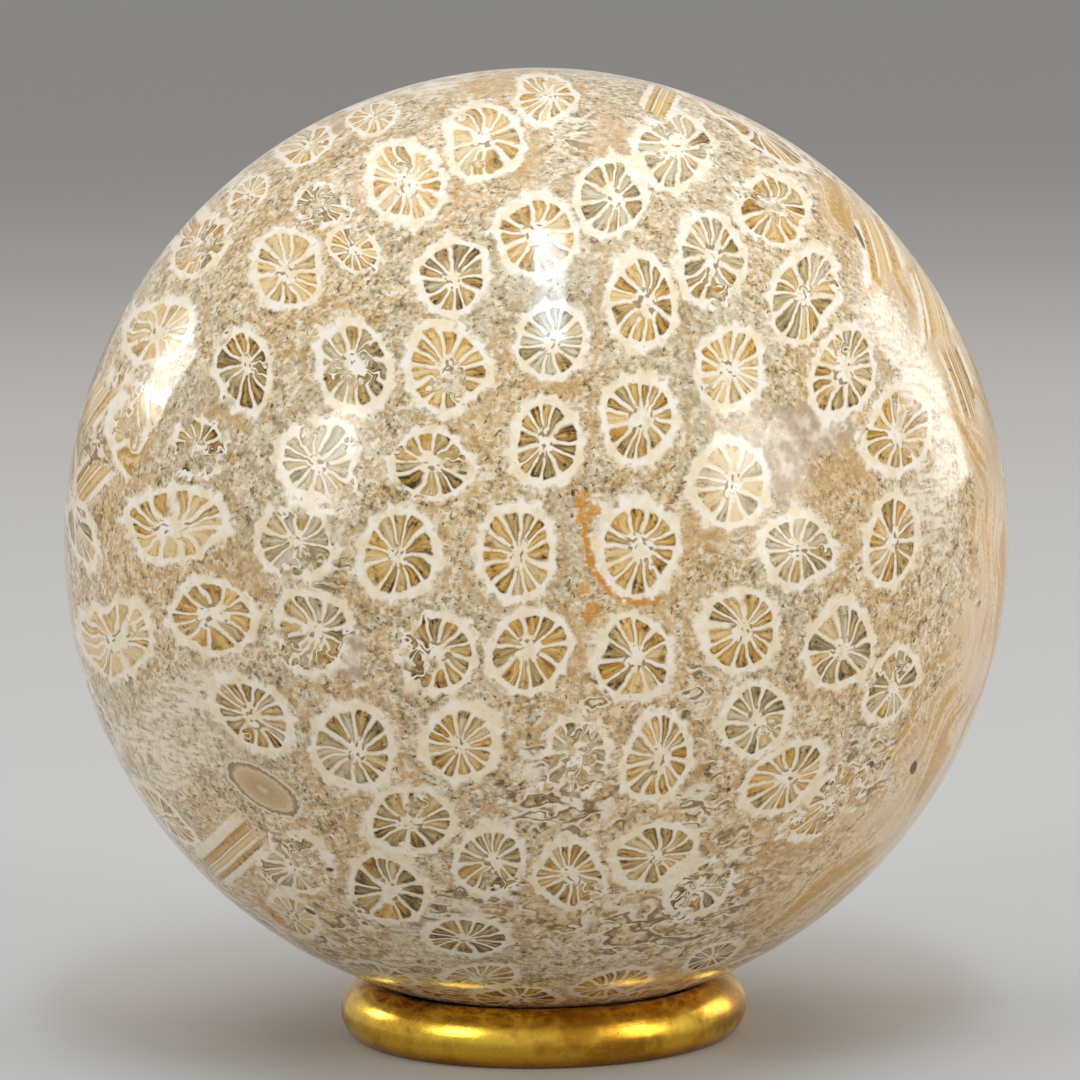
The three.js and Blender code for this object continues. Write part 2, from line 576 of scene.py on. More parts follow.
def line_distance(points, pixels):
    """The distance in millimetres from points to a line through some pixels."""
    stops = [on_ball(x, y) for x, y in pixels]
    distances = []
    for start, end in zip(stops, stops[1:]):
        run = end - start
        share = np.clip((points - start) @ run / (run @ run), 0, 1)
        distances.append(np.linalg.norm(points - start - share[:, None] * run, axis=1))
    return np.min(distances, axis=0) / MM


print("Marks reach this far, in mm:", round(MARK_REACH / MM, 1))

# %% Keep small marks sharp
small_marks = PIT_MARKS + SHELL_MARKS
mark_distances = [np.linalg.norm(mark_place(mark, middles), axis=1) for mark in small_marks]
nearest_mark = np.argmin(mark_distances, axis=0)
corner_mark = np.repeat(nearest_mark, 3)
mark_places = np.zeros((len(corners), 3))
for number, mark in enumerate(small_marks):
    mine = corner_mark == number
    mark_places[mine, :2] = mark_place(mark, corner_points[mine])
mark_places[:, 2] = corner_mark >= len(PIT_MARKS)
give_attribute("small_mark", "CORNER", mark_places)
print("Small marks:", len(small_marks))

# %% Scatter more marks over the rest of the ball, and store them all
HIDDEN_MARKS = 90
hidden = even_points(HIDDEN_MARKS)
hidden = hidden[~shown_on_front(hidden)]


def hidden_field(points, share, across):
    """The distance to marks of a few millimetres, scattered where the picture doesn't reach."""
    spots = hidden[chance.random(len(hidden)) < share]
    nearest_spot = np.full(len(points), FAR)
    for spot in spots:
        pair = square_pair((spot - BALL_CENTRE) / BALL_RADIUS)
        sizes = across * chance.uniform(0.6, 1.4), across * chance.uniform(1.2, 2.6)
        place = (points - spot) @ pair.T * 2 / np.array(sizes)
        place[np.linalg.norm(points - spot, axis=1) > BALL_RADIUS / 2] = FAR
        nearest_spot = np.minimum(nearest_spot, np.linalg.norm(place, axis=1))
    return nearest_spot


MARK_KINDS = {
    "rust": (RUST_MARKS, 0.15, 2 * MM),
    "tan": (TAN_MARKS, 0.20, 5 * MM),
    "chalk": (CHALK_MARKS, 0.15, 4 * MM),
    "glassy": (GLASSY_MARKS, 0.08, 5 * MM),
    "pit": ([], 0.20, 0.8 * MM),
    "band": (BAND_MARKS, 0.06, 7 * MM),
    "rubble": (RUBBLE_MARKS, 0.30, 7 * MM),
}
fields = {"rust_line": line_distance(vertices, RUST_LINE)}
for kind, (marks, share, across) in MARK_KINDS.items():
    fields[kind] = np.minimum(marks_field(marks), hidden_field(vertices, share, across))
ATTRIBUTES = {
    "stains": ("rust", "tan", "chalk"),
    "regions": ("glassy", "band", "rubble"),
    "fine_marks": ("rust_line", "pit", "pit"),  # a vector has three parts, and the last one isn't read
}
for name, kinds in ATTRIBUTES.items():
    columns = np.column_stack([np.minimum(fields[kind], FAR) for kind in kinds])
    give_attribute(name, "POINT", columns)
print("Kinds of mark:", ", ".join(MARK_KINDS))

# %% [markdown]
# ## Materials from nodes
#
# Both finishes are worked out by nodes from the place on the piece, so they are sharp at any distance. A
# few short helpers keep the recipes readable. Each adds one node and gives back its output.

# %% A short way to add nodes
class Bench:
    """Adds nodes to one tree. Inputs may be plain numbers or the outputs of other nodes."""

    def __init__(self, tree):
        self.tree = tree

    def node(self, kind, inputs, **settings):
        made = self.tree.nodes.new("ShaderNode" + kind)
        for name, value in settings.items():
            setattr(made, name, value)
        for key, value in dict(inputs).items():
            if isinstance(value, bpy.types.NodeSocket):
                self.tree.links.new(value, made.inputs[key])
            else:
                made.inputs[key].default_value = value
        return made

    def calc(self, operation, *values, clamp=False):
        return self.node("Math", enumerate(values), operation=operation, use_clamp=clamp).outputs[0]

    def minus(self, first, second):
        return self.calc("SUBTRACT", first, second)

    def times(self, first, second):
        return self.calc("MULTIPLY", first, second)

    def times_plus(self, value, factor, extra, clamp=False):
        return self.calc("MULTIPLY_ADD", value, factor, extra, clamp=clamp)

    def vector(self, operation, *values):
        made = self.node("VectorMath", enumerate(values), operation=operation)
        single = operation in ("LENGTH", "DOT_PRODUCT")
        return made.outputs["Value" if single else "Vector"]

    def scale(self, vector, factor):
        return self.node("VectorMath", {0: vector, "Scale": factor}, operation="SCALE").outputs["Vector"]

    def shift(self, vector, x=0.0, y=0.0, z=0.0):
        joined = self.node("CombineXYZ", {0: x, 1: y, 2: z}).outputs[0]
        return self.vector("ADD", vector, joined)

    def parts(self, vector):
        return list(self.node("SeparateXYZ", {0: vector}).outputs)

    def noise(self, place, scale, detail, roughness=0.5):
        inputs = {"Vector": place, "Scale": scale, "Detail": detail, "Roughness": roughness}
        return self.node("TexNoise", inputs).outputs["Fac"]

    def random(self, place):
        return self.parts(self.node("TexWhiteNoise", {"Vector": place}).outputs["Color"])

    def fade(self, value, start, end, low=0.0, high=1.0):
        inputs = {"Value": value, "From Min": start, "From Max": end, "To Min": low, "To Max": high}
        return self.node("MapRange", inputs, interpolation_type="SMOOTHSTEP").outputs[0]

    def mix(self, share, first, second):
        return self.node("Mix", {0: share, 6: first, 7: second}, data_type="RGBA").outputs[2]

    def ramp(self, share, stops):
        made = self.node("ValToRGB", {0: share})
        line = made.color_ramp
        for number, (place, colour) in enumerate(stops):
            stop = line.elements[number] if number < 2 else line.elements.new(place)
            stop.position = place
            stop.color = (*colour, 1.0)
        return made.outputs["Color"]


SOCKETS = {"colour": "NodeSocketColor", "vector": "NodeSocketVector", "value": "NodeSocketFloat"}


def new_group(name, inputs, outputs):
    """An empty node group with named inputs and outputs: its bench, its given values and its result."""
    tree = bpy.data.node_groups.new(name, "ShaderNodeTree")
    for label, kind in inputs.items():
        tree.interface.new_socket(label, in_out="INPUT", socket_type=SOCKETS[kind])
    for label, kind in outputs.items():
        tree.interface.new_socket(label, in_out="OUTPUT", socket_type=SOCKETS[kind])
    given = tree.nodes.new("NodeGroupInput").outputs
    return Bench(tree), given, tree.nodes.new("NodeGroupOutput").inputs


def use_group(bench, name, inputs):
    """Places a node group in a material and gives back its outputs."""
    return bench.node("Group", inputs, node_tree=bpy.data.node_groups[name]).outputs


print("Helpers ready")

# %% [markdown]
# ## One tube in section
#
# A coral tube, a corallite, has a cream wall. Thin plates, the septa, run from the wall to a knot in the
# middle. The chambers between them were filled by amber, olive and brown crystal as the coral turned to
# stone. So the section is drawn as petals: each is what is left between two septa, the wall and the
# middle. Its margin is the distance to the nearest of those, joined softly, so that its corners are
# round.

# %% Colours read off the picture, in linear light
AMBER_STOPS = [
    (0.00, (0.720, 0.530, 0.270)),
    (0.28, (0.590, 0.350, 0.095)),
    (0.55, (0.400, 0.208, 0.034)),
    (0.80, (0.165, 0.080, 0.014)),
    (1.00, (0.036, 0.020, 0.008)),
]
GREY_STOPS = [
    (0.00, (0.600, 0.530, 0.400)),
    (0.28, (0.450, 0.365, 0.205)),
    (0.55, (0.270, 0.200, 0.082)),
    (0.80, (0.110, 0.080, 0.030)),
    (1.00, (0.036, 0.027, 0.014)),
]
CREAM = (0.860, 0.785, 0.685, 1)
YELLOW_CREAM = (0.810, 0.675, 0.460, 1)
CREAM_SHADE = (0.500, 0.400, 0.270, 1)
KNOT_DOT = (0.230, 0.160, 0.070, 1)
DOT_SCALE = 9.0  # dots across a flower's radius
print("Stops in each filling's ramp:", len(AMBER_STOPS))

# %% Where a point lies among the septa
# Sizes across a flower are in radii of its wall's outer edge. Scales are in waves per millimetre.
WALL_INNER = 0.800
SEPTUM_HALF = 0.028
SLOW_SCALE, SLOW_BEND = 0.30, 0.36
QUICK_SCALE, QUICK_BEND, BROKEN_BEND = 1.3, 0.05, 0.75
LENGTHWISE_FREEDOM = 0.15  # share of the bending that a tube cut lengthwise keeps
SEPTA_SWIRL = 0.35
HALF = (0.5, 0.5, 0.5)


def flat_noise(bench, position, scale):
    """A random way across the section, the same for neighbours: two noises around zero, none along it."""
    across = bench.noise(position, scale, 0)
    upward = bench.noise(bench.shift(position, 17.0), scale, 0)
    both = bench.node("CombineXYZ", {0: across, 1: upward, 2: 0.5}).outputs[0]
    return bench.vector("SUBTRACT", both, HALF)


def bent_place(bench, place, position, wear, lengthwise):
    """The flat coordinates, a little out of round, and broken up where the tube is worn."""
    limit = bench.times_plus(wear, -0.36, 0.70)
    slow_noise = bench.noise(bench.shift(position, 31.0), SLOW_SCALE, 1)
    broken = bench.fade(bench.minus(slow_noise, limit), -0.02, 0.05)
    free = bench.times_plus(lengthwise, LENGTHWISE_FREEDOM - 1, 1.0)
    slow = bench.scale(flat_noise(bench, position, SLOW_SCALE), bench.times(free, SLOW_BEND))
    amount = bench.times(bench.times_plus(broken, BROKEN_BEND, QUICK_BEND), free)
    quick = bench.scale(flat_noise(bench, position, QUICK_SCALE), amount)
    flat = bench.vector("MULTIPLY_ADD", place, (1, 1, 0), bench.vector("ADD", slow, quick))
    return flat, broken, slow_noise


def septa_frame(bench, flat, out, seed, septa):
    """Which chamber a point is in, how far across it, and the distance to the nearest septum's middle."""
    x, y, _ = bench.parts(flat)
    turn = bench.calc("DIVIDE", bench.calc("ARCTAN2", y, x), 2 * math.pi)
    seed_far = bench.times(seed, 57.0)
    uneven = bench.noise(bench.shift(bench.vector("NORMALIZE", flat), z=seed_far), 0.9, 0)
    swirl = bench.noise(bench.shift(flat, z=seed_far), 1.7, 0)
    steps = bench.times_plus(bench.calc("ADD", turn, seed), septa, uneven)
    steps = bench.times_plus(swirl, SEPTA_SWIRL, steps)
    chamber = bench.calc("FLOORED_MODULO", bench.calc("FLOOR", steps), septa)
    across = bench.calc("FRACT", steps)
    off_middle = bench.calc("ABSOLUTE", bench.minus(across, 0.5))
    width = bench.times(bench.calc("DIVIDE", 2 * math.pi, septa), out)
    to_septum = bench.times(bench.minus(0.5, off_middle), width)
    return steps, chamber, off_middle, to_septum


print("A septum's thickness in the middle of a flower, in radii:", 2 * SEPTUM_HALF)

# %% The node group of the tube's section
SECTION_INPUTS = {"Place": "vector", "Nature": "vector", "State": "vector", "Position": "vector"}
SECTION_INPUTS["Low"] = "value"
SECTION_OUTPUTS = {"Colour": "colour", "Cover": "value", "Seam": "value"}
bench, given, result = new_group("Corallite section", SECTION_INPUTS, SECTION_OUTPUTS)
position = given["Position"]
seed, septa_count, tint = bench.parts(given["Nature"])
depth, wear, lengthwise = bench.parts(given["State"])
flat, broken, slow_noise = bent_place(bench, given["Place"], position, wear, lengthwise)
out = bench.vector("LENGTH", flat)
steps, chamber, off_middle, to_septum = septa_frame(bench, flat, out, seed, septa_count)
print("Nodes so far:", len(bench.tree.nodes))

# %% The petals' outline
# Three random numbers for each chamber.
chamber_name = bench.node("CombineXYZ", {0: chamber, 1: bench.times(seed, 91.0), 2: 0.0}).outputs[0]
rim_luck, inner_luck, dark_luck = bench.random(chamber_name)

# Where two tubes meet, both keep half a wall.
third = bench.parts(given["Place"])[2]
rival = bench.times_plus(lengthwise, FAR, third)
end = bench.times(lengthwise, third)
meeting = bench.times_plus(bench.minus(rival, out), -0.5, 1.0)
walled = bench.calc("MAXIMUM", out, meeting)

# The petal's margin.
rough_noise = bench.noise(position, 2.4, 2, 0.6)
middle_noise = bench.noise(position, 0.8, 1)
ragged = bench.minus(rough_noise, 0.5)
septum = bench.calc("ADD", bench.fade(out, 0.60, 0.86, 0, 0.020), bench.fade(depth, 0.50, 0.15, 0, 0.012))
septum = bench.calc("ADD", septum, bench.times_plus(ragged, 0.05, SEPTUM_HALF))
rim = bench.times_plus(rim_luck, 0.07, WALL_INNER - 0.05)
rim = bench.times_plus(ragged, 0.08, rim)
inner = bench.times_plus(inner_luck, 0.20, 0.12)
margin = bench.calc("SMOOTH_MIN", bench.minus(to_septum, septum), bench.minus(rim, walled), 0.08)
margin = bench.calc("SMOOTH_MIN", margin, bench.minus(out, inner), 0.06)

filling = bench.fade(margin, -0.014, 0.036)
print("Nodes so far:", len(bench.tree.nodes))

# %% The crystal in the petals
# How dark it is: by tube, by chamber, in streaks, at the petal's edge and in blots near the wall.
streaks = bench.node("CombineXYZ", {0: bench.times(steps, 6.0), 1: bench.times(out, 2.6), 2: seed})
streak = bench.noise(streaks.outputs[0], 1.0, 1, 0.7)
blot = bench.fade(rough_noise, 0.50, 0.66)
blot = bench.times(blot, bench.fade(out, 0.40, 0.74))
dark = bench.times_plus(bench.minus(dark_luck, 0.5), 0.46, bench.times(depth, 0.72))
dark = bench.times_plus(bench.minus(streak, 0.5), 1.05, dark)
dark = bench.calc("ADD", dark, bench.fade(margin, 0.060, 0.0, 0, 0.20))
dark = bench.calc("ADD", dark, bench.fade(off_middle, 0.0, 0.26, -0.16, 0.02))
dark = bench.times_plus(blot, 0.42, dark)
dark = bench.times_plus(broken, 0.12, dark, clamp=True)
amber = bench.ramp(dark, AMBER_STOPS)
grey = bench.ramp(dark, GREY_STOPS)
warm = bench.times_plus(bench.minus(inner_luck, 0.6), 0.9, tint)
warm = bench.times_plus(lengthwise, 0.5, warm, clamp=True)
crystal = bench.mix(warm, grey, amber)
print("Nodes so far:", len(bench.tree.nodes))

# %% The cream of wall, septa and knot
# It is yellower low down and beside the petals, and there are small dots in the knot.
yellow = bench.times_plus(given["Low"], 0.25, bench.fade(middle_noise, 0.37, 0.72))
cream = bench.mix(yellow, CREAM, YELLOW_CREAM)
cream = bench.mix(bench.fade(margin, -0.06, 0.0, 0, 0.45), cream, YELLOW_CREAM)
cream = bench.mix(bench.fade(rough_noise, 0.42, 0.26, 0, 0.45), cream, CREAM_SHADE)
dots_place = bench.shift(bench.scale(flat, DOT_SCALE), z=bench.times(seed, 23.0))
dots = bench.times(bench.fade(bench.noise(dots_place, 1.0, 0), 0.58, 0.70), bench.fade(out, 0.36, 0.24))
cream = bench.mix(bench.times(dots, 0.85), cream, KNOT_DOT)
bench.tree.links.new(bench.mix(filling, cream, crystal), result["Colour"])
print("Nodes so far:", len(bench.tree.nodes))

# %% How far the tube reaches
# Its wall's edge is uneven, and stands out a little at each septum.
edge = bench.times_plus(middle_noise, 0.20, bench.times_plus(rough_noise, 0.14, 0.80))
edge = bench.calc("ADD", edge, bench.fade(off_middle, 0.20, 0.50, -0.02, 0.065))
inside = bench.fade(bench.minus(out, edge), 0.06, -0.06)
lost = bench.times(broken, bench.fade(middle_noise, 0.46, 0.60))
cover = bench.times(inside, bench.times_plus(lost, -0.85, 1.0))
end_near = bench.times_plus(ragged, 0.7, end)
cover = bench.times(cover, bench.fade(end_near, 0.98, 0.80))
bench.tree.links.new(cover, result["Cover"])

# A thin seam of stain follows the tube at a little distance.
seam_place = bench.times_plus(middle_noise, 0.35, 1.00)
seam = bench.fade(bench.calc("ABSOLUTE", bench.minus(walled, seam_place)), 0.085, 0.02)
bench.tree.links.new(bench.times(seam, bench.fade(slow_noise, 0.55, 0.43)), result["Seam"])
print("Nodes in the section:", len(bench.tree.nodes))

# %% [markdown]
# ## The sandy stone between the tubes
#
# Between the tubes lies lime sand that was washed in and set hard: fine grains, small pale pieces of
# shell, a few dark specks, and slow changes from greyish to warm tan. Grains and pieces are laid at their
# real size, a third of a millimetre to one millimetre.

# %% The node group of the sandy stone
SAND_STOPS = [
    (0.12, (0.150, 0.092, 0.036)),
    (0.36, (0.400, 0.285, 0.145)),
    (0.58, (0.610, 0.480, 0.300)),
    (0.86, (0.800, 0.700, 0.530)),
]
SHELL_WHITE = (0.790, 0.710, 0.580, 1)
WARM_TAN = (0.620, 0.400, 0.170, 1)
GREY_SAND = (0.480, 0.415, 0.285, 1)
SPECK = (0.110, 0.075, 0.036, 1)
HOLLOW_SHADOW = (0.190, 0.118, 0.048, 1)
GRAIN_SCALE, PATCH_SCALE, HUE_SCALE, DRIFT_SCALE = 2.6, 0.85, 1.4, 0.085  # waves per millimetre
PEBBLE_SCALE, SPECK_SCALE = 1.3, 3.2
SHARD_WAVES = (0.30, 0.30, 0.75)
SAND_INPUTS = {"Position": "vector", "Rubble": "value", "Low": "value", "Ragged": "value"}
bench, given, result = new_group("Sandy stone", SAND_INPUTS, {"Colour": "colour"})
position = given["Position"]
grain = bench.noise(position, GRAIN_SCALE, 1, 0.75)
patch = bench.minus(bench.noise(position, PATCH_SCALE, 1, 0.7), 0.5)
patchiness = bench.times_plus(given["Rubble"], 1.3, 1.15)
tone = bench.times_plus(patch, patchiness, bench.times_plus(grain, 1.50, -0.21))
sand = bench.ramp(tone, SAND_STOPS)
hue = bench.noise(bench.shift(position, 50.0), HUE_SCALE, 0)
hue = bench.calc("ADD", hue, bench.minus(bench.noise(position, DRIFT_SCALE, 0), 0.52))
hue = bench.times_plus(given["Low"], 0.11, hue)
sand = bench.mix(bench.fade(hue, 0.48, 0.74, 0, 0.45), sand, WARM_TAN)
sand = bench.mix(bench.fade(hue, 0.50, 0.26, 0, 0.50), sand, GREY_SAND)
print("Nodes so far:", len(bench.tree.nodes))

# %% Small pieces of shell and a few dark grains, pushed out of shape
warped = bench.vector("ADD", position, bench.times(given["Ragged"], 0.45))
pebble = bench.noise(bench.vector("MULTIPLY", warped, (1.0, 1.0, 2.0)), PEBBLE_SCALE, 0)
sand = bench.mix(bench.fade(pebble, 0.66, 0.72, 0, 0.55), sand, SHELL_WHITE)
speck = bench.noise(warped, SPECK_SCALE, 0)
sand = bench.mix(bench.fade(speck, 0.29, 0.22, 0, 0.85), sand, SPECK)

# Where shells were washed together, long pieces lie crosswise, each with painted shadow along one side, as
# if a hollow lay beside it.
shard = bench.noise(bench.vector("MULTIPLY", warped, SHARD_WAVES), 1.0, 1, 0.55)
shadow_and_hollow = bench.fade(bench.calc("ABSOLUTE", bench.minus(shard, 0.585)), 0.050, 0.010, 0, 0.85)
sand = bench.mix(bench.times(shadow_and_hollow, given["Rubble"]), sand, HOLLOW_SHADOW)
chip = bench.fade(bench.calc("ABSOLUTE", bench.minus(shard, 0.51)), 0.045, 0.015, 0, 0.80)
sand = bench.mix(bench.times(chip, given["Rubble"]), sand, SHELL_WHITE)
bench.tree.links.new(sand, result["Colour"])
print("Nodes in the sandy stone:", len(bench.tree.nodes))

# %% [markdown]
# ## Fine wear
#
# Nothing polished by hand is evenly glossy. Both the stone and the brass have faint clouds where the
# polish is softer, and hair-fine scratches. It is one node group, used by both with numbers of their own.

# %% The node group of fine wear
WEAR_INPUTS = {"Position": "vector", "Gloss": "value", "Clouding": "value", "Scratching": "value"}
bench, given, result = new_group("Fine wear", WEAR_INPUTS, {"Roughness": "value", "Relief": "value"})
position = given["Position"]
drift = bench.noise(position, 0.20, 0)
cloud = bench.fade(drift, 0.35, 0.70)
long_way = bench.scale(bench.node("CombineXYZ", {0: drift, 1: drift, 2: drift}).outputs[0], 15.0)
hair_place = bench.vector("MULTIPLY_ADD", position, (0.5, 9.0, 0.7), long_way)
hair = bench.fade(bench.noise(hair_place, 1.0, 0), 0.66, 0.72)
scratch = bench.times(hair, given["Scratching"])
rough = bench.times_plus(cloud, given["Clouding"], given["Gloss"])
rough = bench.times_plus(scratch, 0.25, rough)
bench.tree.links.new(rough, result["Roughness"])
bench.tree.links.new(bench.times(scratch, -1.0), result["Relief"])
print("Nodes in the fine wear:", len(bench.tree.nodes))

# %% [markdown]
# ## The polished stone
#
# Now the parts come together: sand first, its stains over it, then the tubes, and last the rust, the
# shell and the pits. The polish is a low roughness that clouds and scratches change a little from place
# to place.

# %% Colours of the stone's marks, read off the picture too
TAN_STAIN = (0.540, 0.325, 0.130, 1)
CHALK = (0.800, 0.700, 0.560, 1)
GLASSY_GREY = (0.440, 0.330, 0.225, 1)
GLASSY_WHITE = (0.780, 0.670, 0.570, 1)
BAND_STOPS = [
    (0.32, (0.430, 0.235, 0.066)),
    (0.45, (0.590, 0.350, 0.105)),
    (0.52, (0.760, 0.610, 0.400)),
    (0.58, (0.560, 0.350, 0.160)),
    (0.68, (0.760, 0.620, 0.430)),
]
BAND_CREAM = (0.700, 0.560, 0.390, 1)
RUST = (0.570, 0.225, 0.006, 1)
PIT_SHADE = (0.085, 0.036, 0.013, 1)
BAND_STREAKS = 0.30  # per millimetre
LEANING_STREAKS = 0.75  # per millimetre
BAND_LEAN = math.radians(20)
SHELL_STOPS = [
    (0.07, (0.610, 0.480, 0.310)),
    (0.20, (0.470, 0.325, 0.160)),
    (0.62, (0.570, 0.415, 0.225)),
    (0.69, (0.660, 0.530, 0.340)),
    (0.77, (0.450, 0.310, 0.155)),
    (0.86, (0.260, 0.170, 0.075)),
    (0.92, (0.740, 0.640, 0.490)),
    (0.99, (0.660, 0.550, 0.390)),
]
print("Stops in the band and the shell:", len(BAND_STOPS), len(SHELL_STOPS))

# %% Three more helpers
def new_material(name, kind="BsdfPrincipled"):
    """A material with nothing but its shader: the material, its bench and the shader."""
    material = bpy.data.materials.new(name)
    material.use_nodes = True
    material.node_tree.nodes.clear()
    made = Bench(material.node_tree)
    shader = made.node(kind, {})
    sink = made.tree.nodes.new("ShaderNodeOutputMaterial")
    made.tree.links.new(shader.outputs[0], sink.inputs["Surface"])
    return material, made, shader


def stored(bench, name):
    """Reads one of the ball's attributes."""
    return bench.node("Attribute", {}, attribute_name=name).outputs["Vector"]


def ragged_mark(bench, field, ragged, softness):
    """A mask that is 1 inside a kind of mark, with an uneven edge."""
    return bench.fade(bench.calc("ADD", field, ragged), 1.0 + softness, 1.0 - softness)


print("Attributes that the stone will read:", ", ".join(ATTRIBUTES))

# %% Start the stone: sand, its stains and the chalk
stone, bench, shader = new_material("fossil_coral_polished")
where = bench.node("TexCoord", {}).outputs["Object"]
position = bench.scale(where, 1 / MM)
ragged = bench.times_plus(bench.noise(position, 0.9, 1, 0.6), 2.6, -1.3)
fine_ragged = bench.times_plus(bench.noise(position, 2.5, 1, 0.6), 2.4, -1.2)
low = bench.fade(bench.parts(position)[2], 52.0, 14.0)
rust_field, tan_field, chalk_field = bench.parts(stored(bench, "stains"))
glassy_field, band_field, rubble_field = bench.parts(stored(bench, "regions"))
line_field, hidden_pit, _ = bench.parts(stored(bench, "fine_marks"))
rubble = ragged_mark(bench, rubble_field, ragged, 0.4)
sand_inputs = {"Position": position, "Rubble": rubble, "Low": low, "Ragged": ragged}
sand = use_group(bench, "Sandy stone", sand_inputs)
colour = sand["Colour"]
stain = bench.times(ragged_mark(bench, tan_field, ragged, 0.4), 0.50)
colour = bench.mix(stain, colour, TAN_STAIN)
glassy = ragged_mark(bench, glassy_field, ragged, 0.5)
glass = bench.mix(bench.fade(ragged, -0.30, 0.45), GLASSY_GREY, GLASSY_WHITE)
colour = bench.mix(bench.times(glassy, 0.8), colour, glass)
feathers = bench.noise(bench.vector("MULTIPLY", position, (0.7, 0.7, 2.6)), 1.0, 1)
chalk_grain = bench.fade(feathers, 0.36, 0.60, 0.10, 0.95)
chalk = bench.times(ragged_mark(bench, chalk_field, ragged, 0.5), chalk_grain)
colour = bench.mix(chalk, colour, CHALK)
print("Nodes so far:", len(bench.tree.nodes))

# %% Add the band down the right side
# It is tubes cut along their length. Its stripes follow the outline, and high up they lean to the upper
# left instead. They are golden only in places, and cream between.
from_middle = bench.vector("SUBTRACT", position, tuple(BALL_CENTRE / MM))
streak_bend = bench.noise(position, 0.16, 0)
low_streaks = bench.vector("DOT_PRODUCT", from_middle, tuple(SIGHT * BAND_STREAKS))
leaning = RIGHT * math.cos(BAND_LEAN) + UP * math.sin(BAND_LEAN)
high_streaks = bench.vector("DOT_PRODUCT", from_middle, tuple(leaning * LEANING_STREAKS))
high_streaks = bench.minus(high_streaks, LEANING_STREAKS * BALL_RADIUS / MM)
height = bench.parts(from_middle)[2]
share_high = bench.fade(height, 4.0, 14.0)
streaks = bench.node("Mix", {0: share_high, 2: low_streaks, 3: high_streaks}, data_type="FLOAT")
bend = bench.times_plus(streak_bend, 2.0, streaks.outputs[0])
stripe_place = bench.node("CombineXYZ", {0: bend, 1: bench.times(height, 0.06), 2: 0.0})
stripes = bench.noise(stripe_place.outputs[0], 1.0, 2, 0.6)
golden = bench.ramp(bench.times_plus(fine_ragged, 0.08, stripes), BAND_STOPS)
band_colour = bench.mix(bench.fade(streak_bend, 0.34, 0.52, 0.35, 1.0), BAND_CREAM, golden)
band_colour = bench.mix(bench.fade(fine_ragged, 0.0, 0.7, 0, 0.45), band_colour, colour)
band = bench.fade(bench.times_plus(ragged, 0.5, band_field), 1.12, 0.92)
colour = bench.mix(band, colour, band_colour)
print("Nodes so far:", len(bench.tree.nodes))

# %% Add the tubes
tube_inputs = {"Position": position, "Low": low}
for name, label in (("tube_place", "Place"), ("tube_nature", "Nature"), ("tube_state", "State")):
    tube_inputs[label] = stored(bench, name)
section = use_group(bench, "Corallite section", tube_inputs)
over_band = bench.calc("MAXIMUM", bench.minus(1.0, band), bench.parts(tube_inputs["State"])[2])
kept = bench.times(bench.times_plus(chalk, -0.55, 1.0), over_band)
seam = bench.times(bench.times(section["Seam"], kept), 0.55)
colour = bench.mix(seam, colour, TAN_STAIN)
colour = bench.mix(bench.times(section["Cover"], kept), colour, section["Colour"])

print("Nodes so far:", len(bench.tree.nodes))

# %% Add the shell, the rust and the pits to the stone
small_mark = stored(bench, "small_mark")
mark_out = bench.vector("LENGTH", bench.vector("MULTIPLY", small_mark, (1, 1, 0)))
is_shell = bench.parts(small_mark)[2]
pit_out = bench.calc("MINIMUM", bench.times_plus(is_shell, FAR, mark_out), hidden_pit)
shell_mask = bench.times(bench.fade(mark_out, 1.04, 0.94), is_shell)
shell_out = bench.times_plus(fine_ragged, 0.09, mark_out)
colour = bench.mix(shell_mask, colour, bench.ramp(shell_out, SHELL_STOPS))

line_near = bench.times_plus(fine_ragged, 0.22, line_field)
line = bench.fade(line_near, 0.34, 0.14)
rust = bench.calc("MAXIMUM", line, bench.times(ragged_mark(bench, rust_field, fine_ragged, 0.3), 0.8))
colour = bench.mix(bench.times(rust, 0.92), colour, RUST)
# Pits are rougher, and darkened with painted shade, as the inside of a hole.
pit = bench.fade(bench.times_plus(fine_ragged, 0.15, pit_out), 1.05, 0.70)
colour = bench.mix(bench.times(pit, 0.92), colour, PIT_SHADE)
bench.tree.links.new(colour, shader.inputs["Base Color"])

wear_inputs = {"Position": position, "Gloss": 0.075, "Clouding": 0.07, "Scratching": 0.35}
fine_wear = use_group(bench, "Fine wear", wear_inputs)
rough = bench.times_plus(pit, 0.3, fine_wear["Roughness"])
rough = bench.times_plus(chalk, 0.12, rough)
bench.tree.links.new(rough, shader.inputs["Roughness"])
shadow_and_hollow = bench.fade(bench.times_plus(is_shell, FAR, mark_out), 0.7, 1.2)
bump = bench.node("Bump", {"Height": shadow_and_hollow, "Strength": 0.6, "Distance": 0.08 * MM})
bench.tree.links.new(bump.outputs[0], shader.inputs["Normal"])
shader.inputs["IOR"].default_value = 1.52
shader.inputs["Specular IOR Level"].default_value = 0.40
ball.data.materials.clear()
ball.data.materials.append(stone)
print("Nodes in the stone:", len(bench.tree.nodes))

# %% [markdown]
# ## The brass ring
#
# The ring is a round bar bent into a hoop, with a narrow flat under it so that it doesn't rock. A torus
# gives the bar, and pressing its lowest points into the table's plane gives the flat. The edges of a
# ground flat are never sharp, so they get a small bevel.

# %% Model the ring
BAR_RADIUS = 2.4 * MM
BAR_HEIGHT = RING_HIGH.z - BAR_RADIUS
HOOP_RADIUS = RING_WIDTH / 2 - BAR_RADIUS
FOOT_BEVEL = 0.12 * MM

deselect_all()
ring_place = (0, 0, BAR_HEIGHT)
bpy.ops.mesh.primitive_torus_add(
    location=ring_place,
    major_radius=HOOP_RADIUS,
    minor_radius=BAR_RADIUS,
    major_segments=192,
    minor_segments=60,
)
ring = bpy.context.object
ring.name = "brass_ring_stand"


